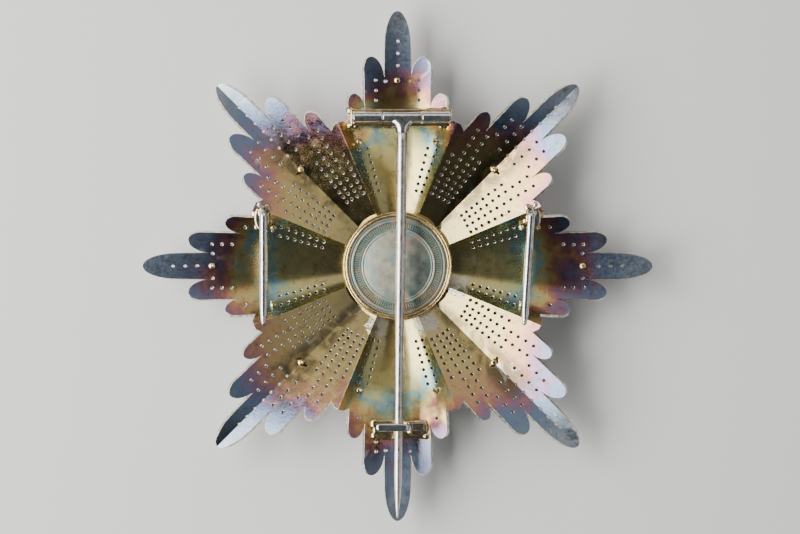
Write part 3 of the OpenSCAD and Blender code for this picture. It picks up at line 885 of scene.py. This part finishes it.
def soldered_silver(name, brass_top, silver_from):
    """Worn silver that turns into brassy solder lower down; heights in millimetres."""
    work = Recipe(name)
    x, y, z = work.axes()
    stain = work.sum("SUBTRACT", work.grain(900, 5, 0.6, 0.6), 0.5)
    height = work.sum("MULTIPLY_ADD", stain, 2.2 * mm, z)
    brass = work.steps(height, brass_top * mm, silver_from * mm, 1.0, 0.0)
    worn = work.steps(work.grain(700, 6, 0.6, 0.8), 0.42, 0.7)
    silver = work.mix(worn, (0.86, 0.85, 0.82), (0.55, 0.52, 0.46))
    solder_patch = work.steps(work.grain(1400, 4, 0.6), 0.4, 0.65)
    solder = work.mix(solder_patch, (0.78, 0.60, 0.30), (0.52, 0.40, 0.22))
    colour = work.mix(brass, silver, solder)
    soot = work.steps(work.grain(1900, 6, 0.65, 0.4), 0.56, 0.72)
    colour = work.mix(work.sum("MULTIPLY", soot, 0.5), colour, (0.10, 0.08, 0.055))
    work.relief(work.grain(1500, 5, 0.6), 0.012 * mm)
    return work.finish(colour, work.steps(work.grain(1200, 4), 0.3, 0.7, 0.10, 0.24))


def sheet_z(x, y):
    """Height of the star's back, all in millimetres."""
    return back_z(x * mm, y * mm) / mm


# The strip, its two feet, then each outer knuckle on a web and a bead of solder
mount_parts = [block(-7.92, 9.12, hinge_y, 1.45, 7.304, 8.104, 0.2)]
foot_len = 1.4
for x_from in (-8.021, 6.621):
    mount_parts.append(block(x_from, x_from + foot_len, hinge_y, 1.4, 4.5, 7.7, 0.2))
for x_from, x_to in ((-7.35, -2.55), (4.19, 8.85)):
    mount_parts += [
        tube("end_knuckle", x_to - x_from, x_from),
        block(x_from, x_to, hinge_y, 0.76, 7.7, hinge_z - 0.55, 0.05),
        block(x_from, x_to, hinge_y, 1.0, 7.9, 8.35, 0.1),
    ]

# drops of solder along the strip, then at the feet on the sheet
drop_z = 7.62
for x, y, long_x, long_y, high in (
    (-6.83, 23.55, 0.8, 0.55, 0.5), (-1.3, 23.5, 0.95, 0.5, 0.42), (-0.3, 23.45, 0.5, 0.4, 0.36),
    (7.5, 23.5, 0.7, 0.55, 0.45), (-5.2, 26.3, 1.2, 0.3, 0.3), (6.1, 26.3, 1.6, 0.3, 0.3),
    (-7.6, 26.0, 0.5, 0.6, 0.4), (8.7, 25.9, 0.5, 0.5, 0.4), (3.4, 26.2, 0.7, 0.35, 0.3),
):
    mount_parts.append(drop(x, y, drop_z, long_x, long_y, high))
for x, y in ((-7.9, 23.6), (-7.9, 26.1), (-6.75, 24.0), (7.9, 23.6), (7.9, 26.1), (6.75, 25.6)):
    mount_parts.append(drop(x, y, sheet_z(x, y) + 0.1, 0.75, 0.7, 0.55))
mount = soldered("hinge_mount_strip", mount_parts, 0.075)
mount.data.materials.append(soldered_silver("hinge_silver", 8.0, 9.0))
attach(mount, "star")
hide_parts("hinge_mount")

# The hinge rod is a silver wire through all three knuckles. It is riveted over at both
# ends and stands still in the outer knuckles, and the pin's knuckle turns on it.
rod_from, rod_to = -7.38, 8.88
rod_len = rod_to - rod_from
rod_shape = (
    (0, -0.3), (0.3, -0.28), (0.58, -0.2), (0.72, -0.1), (0.76, -0.03), (0.72, 0), (0.42, 0),
    (0.42, rod_len), (0.72, rod_len), (0.76, rod_len + 0.04), (0.7, rod_len + 0.12),
    (0.55, rod_len + 0.21), (0.3, rod_len + 0.28), (0, rod_len + 0.3),
)
rod = placed(
    lathe("hinge_rod_wire", rod_shape, 32),
    (rod_from * mm, hinge_y * mm, hinge_z * mm), (0, math.pi / 2, 0),
)
shade(rod, 40)
rod.data.materials.append(soldered_silver("riveted_wire_silver", 8.6, 9.0))
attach(rod, "star")
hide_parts("hinge_rod")

# The pin's own knuckle is silver tube that turns on the rod. A flared collar, filed
# smooth into the tube, joins it to the stem.
pin_x = 0.82
pin_lean = math.radians(-0.7247)


def ovals(name, stations, sides=40):
    """A stack of ovals: (height, half length along X, half length along Y) in millimetres."""
    height, half_x, half_y = stations[0]
    pick_nothing()
    bpy.ops.mesh.primitive_circle_add(
        vertices=sides, radius=mm, fill_type="NGON", location=(0, 0, height * mm)
    )
    bpy.context.object.scale = (half_x, half_y, 1)
    piece = finished(name)
    bpy.ops.object.mode_set(mode="EDIT")
    bpy.ops.mesh.select_mode(type="FACE")
    bpy.ops.mesh.select_all(action="SELECT")
    for next_height, next_x, next_y in stations[1:]:
        rise = (0, 0, (next_height - height) * mm)
        bpy.ops.mesh.extrude_region_move(TRANSFORM_OT_translate={"value": rise})
        bpy.ops.transform.resize(
            value=(next_x / half_x, next_y / half_y, 1), orient_type="GLOBAL",
            center_override=(0, 0, next_height * mm),
        )
        height, half_x, half_y = next_height, next_x, next_y
    faces_outward()
    return piece


flare = ovals("flare", (
    (-0.15, 1.5, 0.96), (0.2, 2.2, 1.0), (0.6, 2.3, 1.0), (0.9, 2.0, 1.01), (1.15, 1.6, 1.02),
    (1.45, 1.33, 1.02), (1.75, 1.18, 1.02), (2.1, 1.08, 1.02), (2.5, 1.03, 1.0), (2.6, 0.98, 0.96),
))
flare = placed(flare, (pin_x * mm, hinge_y * mm, hinge_z * mm), (math.pi / 2, 0, pin_lean))
knuckle_from, knuckle_len, bore_len = -2.43, 6.5, 12
middle_tube = tube("middle_knuckle", knuckle_len, knuckle_from)
knuckle = soldered("pin_knuckle_tube", [middle_tube, flare], 0.07, 4)
pick_nothing()
bpy.ops.mesh.primitive_cylinder_add(
    vertices=40, radius=bore_half * mm, depth=bore_len * mm,
    location=(pin_x * mm, hinge_y * mm, hinge_z * mm), rotation=(0, math.pi / 2, 0),
)
cut(knuckle, finished("rod_bore"))
shade(knuckle, 40)
knuckle.data.materials.clear()
knuckle.data.materials.append(soldered_silver("knuckle_silver", 7.0, 8.0))
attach(knuckle, "pin")
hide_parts("pin_knuckle")

# The pin itself is drawn and hardened wire, thickest at the hinge, tapered and polished
# to a point, with long scratches from use.
stem_from, stem_end = 2.63, 67.2
stem_r, taper, taper_len, taper_steps = 0.875, 0.175, 49.31, 22
stem_shape = [(0, stem_from), (0.8, stem_from), (stem_r, 2.72)]
for i in range(1, taper_steps + 1):
    stem_shape.append((
        stem_r - taper * i / taper_steps, stem_from + taper_len * i / taper_steps,
    ))
stem_shape += [
    (0.692, 55), (0.679, 59.2), (0.64, 60.6), (0.58, 61.8), (0.5, 63.2), (0.4, 64.6), (0.29, 65.8),
    (0.18, 66.7), (0.11, 67.05), (0.06, 67.17), (0, stem_end),
]
stem = lathe("pin_stem_wire", stem_shape, 48)

# years of use have left slight waves in the wire
wave_across, wave_up = 0.035 * mm, 0.02 * mm
for point in stem.data.vertices:
    way = point.co.z / (stem_end * mm)
    point.co.x += wave_across * math.sin(9 * way) * way
    point.co.y += wave_up * math.sin(14 * way + 1) * way * (1 - way)
placed(stem, (pin_x * mm, hinge_y * mm, hinge_z * mm), (math.pi / 2, 0, pin_lean))
shade(stem, 50)
work = Recipe("drawn_pin_metal")
scratch = work.grain(1, 4, 0.6, 0.0, work.stretched((5200, 260, 5200)))
stain = work.steps(work.grain(420, 6, 0.65, 1.2), 0.44, 0.66)
colour = work.mix(stain, (0.84, 0.81, 0.77), (0.62, 0.56, 0.49))
dark_line = work.steps(scratch, 0.56, 0.7)
colour = work.mix(work.sum("MULTIPLY", dark_line, 0.25), colour, (0.20, 0.16, 0.12))
work.relief(work.sum("ADD", scratch, work.grain(1200, 3, 0.5)), 0.003 * mm)
rough = work.steps(work.grain(900, 4), 0.3, 0.7, 0.26, 0.38)
stem.data.materials.append(work.finish(colour, rough))
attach(stem, "pin")
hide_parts("pin_stem")

# The catch is a strip of silver bent over the pin. Its foot is soldered to a bar that
# lies across the lower trough.
catch_y, bar_y = -27.018, -27.568
strip_half, strip_t = 0.675, 0.55
root_x, root_z = 2.2, 5.9
bend_x, bend_z = 0.975, 9.164
end_x, end_z = -2.925, 10.389
pick_nothing()
bpy.ops.mesh.primitive_circle_add(
    vertices=28, radius=0.5 * mm, fill_type="NGON",
    location=(root_x * mm, catch_y * mm, root_z * mm),
)
bpy.context.object.scale = (strip_t, 2 * strip_half, 1)
strip = finished("catch_strip")
bpy.ops.object.mode_set(mode="EDIT")
bpy.ops.mesh.select_mode(type="FACE")
bpy.ops.mesh.select_all(action="SELECT")
stand = (0, 0, (bend_z - root_z) * mm)
bpy.ops.mesh.extrude_region_move(TRANSFORM_OT_translate={"value": stand})
bpy.ops.mesh.spin(
    steps=10, angle=math.pi / 2, center=(bend_x * mm, catch_y * mm, bend_z * mm), axis=(0, 1, 0)
)
reach = ((end_x - bend_x) * mm, 0, 0)
bpy.ops.mesh.extrude_region_move(TRANSFORM_OT_translate={"value": reach})
faces_outward()

# the bent strip, its rounded end, its foot and the bar, then the drops of solder
catch_parts = [
    strip,
    drop(end_x, catch_y, end_z, strip_half, strip_half, strip_t / 2),
    block(1.925, 4.525, catch_y, strip_half, 5.6, 6.37, 0.15),
    block(-4.1, 5.0, bar_y, 1.6, 4.2, 5.819, 0.25),
]
for x, y, z, long_x, long_y, high in (
    (3.2, -27.9, 5.75, 1.5, 0.7, 0.42), (4.6, -27.3, 5.7, 0.6, 1.1, 0.42),
    (1.7, -26.9, 5.8, 0.6, 0.9, 0.4), (-3.9, -26.6, 5.5, 0.7, 0.9, 0.42),
    (-3.9, -28.6, 5.5, 0.6, 0.7, 0.42), (4.9, -28.7, 5.5, 0.7, 0.6, 0.5),
    (-1.2, -28.9, 5.45, 1.3, 0.5, 0.4), (0.4, -26.2, 5.45, 1.1, 0.4, 0.4),
):
    catch_parts.append(drop(x, y, z, long_x, long_y, high))
catch = soldered("catch_strip_and_bar", catch_parts, 0.07)
catch.data.materials.append(soldered_silver("catch_silver", 5.9, 7.2))
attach(catch, "star")
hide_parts("catch_hook")

# Two side hooks of round silver wire take thread loops on the coat. Each stands in an
# oval foot soldered to the sheet, and the right one leans inward.
wire_r = 0.675
root_x, root_y, root_z = 22.418, 8.999, 8.2
bend_r, bend_z = 1.0, 9.028
arm_z = 10.028
foot_x, foot_y = 22.768, 8.099
foot_half_x, foot_half_y = 1.25, 2.15

# where the straight part ends, then how the tip is drawn thin: along Y, and radius
wire_stations = ((-15.998, wire_r), (-17.0, 0.62), (-18.0, 0.5), (-18.7, 0.34), (-18.95, 0.2))

# drops of solder round the foot: bearing in radians, width, and how far they stand out
foot_drops = (
    (0.3, 0.55, 0.1), (1.3, 0.4, 0.16), (2.3, 0.62, 0.05), (3.4, 0.45, 0.13), (4.4, 0.6, 0.08),
    (5.5, 0.42, 0.15),
)
for name, node_name, side, lean in (
    ("side_hook_left", "hook_left", -1, 0),
    ("side_hook_right", "hook_right", 1, math.radians(-3.6)),
):
    pick_nothing()
    bpy.ops.mesh.primitive_circle_add(
        vertices=32, radius=wire_r * mm, fill_type="NGON", location=(0, 0, root_z * mm)
    )
    wire = finished("hook_wire")
    bpy.ops.object.mode_set(mode="EDIT")
    bpy.ops.mesh.select_mode(type="FACE")
    bpy.ops.mesh.select_all(action="SELECT")
    stand = (0, 0, (bend_z - root_z) * mm)
    bpy.ops.mesh.extrude_region_move(TRANSFORM_OT_translate={"value": stand})
    bpy.ops.mesh.spin(
        steps=10, angle=-math.pi / 2, center=(0, -bend_r * mm, bend_z * mm), axis=(1, 0, 0)
    )
    y, wide = -bend_r, wire_r
    for next_y, next_wide in wire_stations:
        step = (0, (next_y - y) * mm, 0)
        bpy.ops.mesh.extrude_region_move(TRANSFORM_OT_translate={"value": step})
        bpy.ops.transform.resize(
            value=(next_wide / wide,) * 3, center_override=(0, next_y * mm, arm_z * mm)
        )
        y, wide = next_y, next_wide
    faces_outward()
    wire = placed(wire, (side * root_x * mm, root_y * mm, 0), (0, 0, lean))
    foot = ovals("hook_foot", (
        (7.0, 1.3, 2.2), (8.6, 1.3, 2.2), (8.78, 1.2, 2.1), (8.86, 1.05, 1.95), (8.88, 0.85, 1.7),
    ))
    foot = placed(foot, (side * foot_x * mm, foot_y * mm, 0))
    collar = ovals("hook_collar", ((8.6, 0.95, 0.95), (8.95, 0.85, 0.85), (9.1, 0.72, 0.72)))
    collar = placed(collar, (side * root_x * mm, root_y * mm, 0))
    parts = [wire, foot, collar]
    for along, wide, grow in foot_drops:
        x = side * (foot_x + (foot_half_x + grow) * math.cos(along))
        y = foot_y + (foot_half_y + grow) * math.sin(along)
        parts.append(drop(x, y, sheet_z(x, y) + 0.05, wide, wide * 1.2, 0.35))
    hook = soldered(name, parts, 0.075)
    hook.data.materials.append(soldered_silver(name + "_silver", 8.5, 9.3))
    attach(hook, "star")
    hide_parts(node_name)
